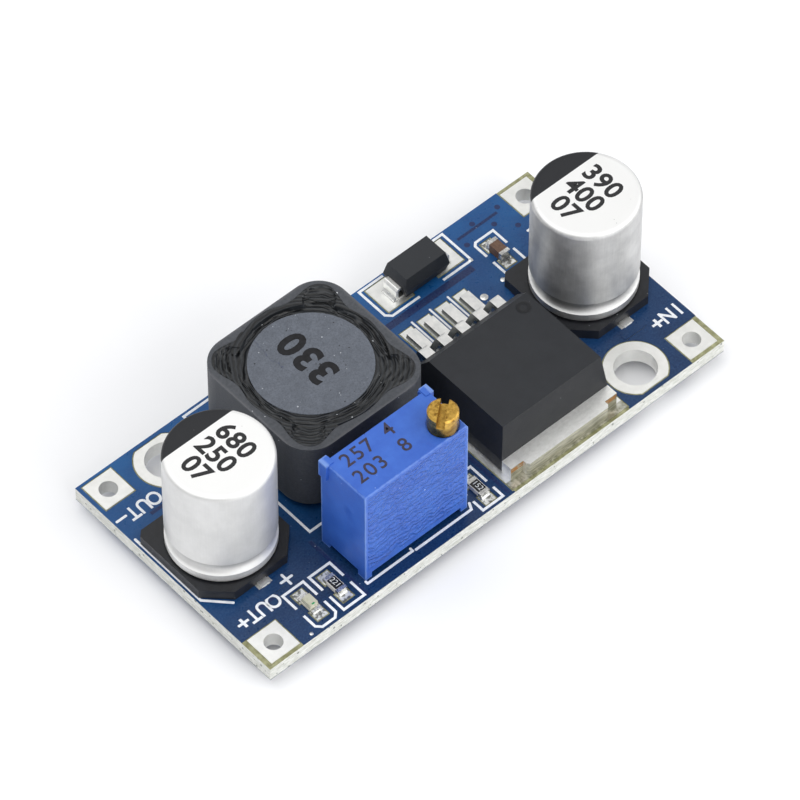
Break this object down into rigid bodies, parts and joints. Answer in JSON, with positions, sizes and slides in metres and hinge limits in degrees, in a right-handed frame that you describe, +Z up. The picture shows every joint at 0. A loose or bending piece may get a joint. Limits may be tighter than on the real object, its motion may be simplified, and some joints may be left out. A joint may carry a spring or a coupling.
{
  "type": "buck converter module",
  "caption": "Step-down power module: a small blue circuit board with two electrolytic capacitors, a shielded inductor, a regulator with heat tab and a screw-adjusted trimmer.",
  "frame": {"origin": "middle of the board's underside", "axes": "+X along the board's long side to the input end, +Y across the board to the edge beside the diode, +Z up out of the component side"},
  "size_m": [0.043, 0.0208, 0.0134],
  "materials": {
    "laminate": "cut glass-fibre laminate, slightly fuzzy edge",
    "solder_mask": "blue lacquer, semi-gloss",
    "tinned_pad": "tinned, matt",
    "tinned_land": "tinned, uneven",
    "solder": "solder, bright and uneven",
    "input_can": "drawn can, satin",
    "output_can": "drawn can, satin",
    "base_plastic": "moulded black plastic",
    "tinned_lead": "tinned, satin",
    "ferrite_shield": "pressed ferrite, matt and speckled",
    "ferrite_drum": "pressed ferrite, matt and speckled",
    "enamelled_wire": "enamelled copper wire",
    "black_glue": "cured epoxy, wrinkled",
    "moulding": "moulded epoxy, fine matt grain",
    "tinned_tab": "tinned copper, satin",
    "blue_housing": "moulded plastic, faint satin",
    "brass_screw": "turned brass",
    "seal_rubber": "soft rubber",
    "wheel_plastic": "moulded plastic",
    "spring_brass": "rolled spring sheet",
    "white_ceramic": "fired ceramic",
    "blue_resin": "cast resin",
    "lamp_base": "pale laminate",
    "clear_lens": "milky clear resin",
    "chip_metal": "tinned, satin",
    "black_glaze": "glassy black overglaze",
    "tan_ceramic": "fired ceramic, tan"
  },
  "bodies": {
    "board": {"circuit_board": "laminate", "solder_mask_top": "solder_mask", "solder_mask_bottom": "solder_mask", "terminal_pads": "tinned_pad", "mounting_rings": "tinned_pad", "component_lands": "tinned_land", "trimmer_lands": "tinned_pad", "solder_fillets": "solder", "pin_solder": "solder", "input_cap_can": "input_can", "input_cap_base": "base_plastic", "input_cap_leads": "tinned_lead", "output_cap_can": "output_can", "output_cap_base": "base_plastic", "output_cap_leads": "tinned_lead", "inductor_shield": "ferrite_shield", "inductor_drum": "ferrite_drum", "inductor_winding": "enamelled_wire", "inductor_glue": "black_glue", "inductor_plate_sheet": "base_plastic", "inductor_clips": "tinned_lead", "regulator_body": "moulding", "regulator_tab": "tinned_tab", "regulator_leads": "tinned_lead", "diode_body": "moulding", "diode_terminals": "tinned_lead", "trimmer_housing": "blue_housing", "trimmer_element": "white_ceramic", "trimmer_pins": "tinned_lead", "trimmer_resin": "blue_resin", "lamp_base": "lamp_base", "lamp_lens": "clear_lens", "lamp_ends": "chip_metal", "lamp_resistor_body": "white_ceramic", "lamp_resistor_glaze": "black_glaze", "lamp_resistor_ends": "chip_metal", "feedback_resistor_body": "white_ceramic", "feedback_resistor_glaze": "black_glaze", "feedback_resistor_ends": "chip_metal", "chip_cap_body": "tan_ceramic", "chip_cap_ends": "chip_metal"},
    "adjusting_screw": {"trimmer_screw": "brass_screw", "trimmer_seal": "seal_rubber"},
    "wiper_wheel": {"trimmer_wheel": "wheel_plastic", "trimmer_wiper": "spring_brass"}
  },
  "joints": [
    {"name": "screw_turn", "type": "hinge", "parent": "board", "child": "adjusting_screw", "pos_m": [-0.00333, -0.00792, 0.0108], "axis": [0, 0, 1], "continuous": true},
    {"name": "wheel_turn", "type": "hinge", "parent": "board", "child": "wiper_wheel", "pos_m": [-0.00703, -0.00792, 0.00565], "axis": [0, 1, 0], "continuous": true}
  ],
  "couplings": [
    {"joint": "wheel_turn", "follows": "screw_turn", "ratio": 0.033333}
  ]
}
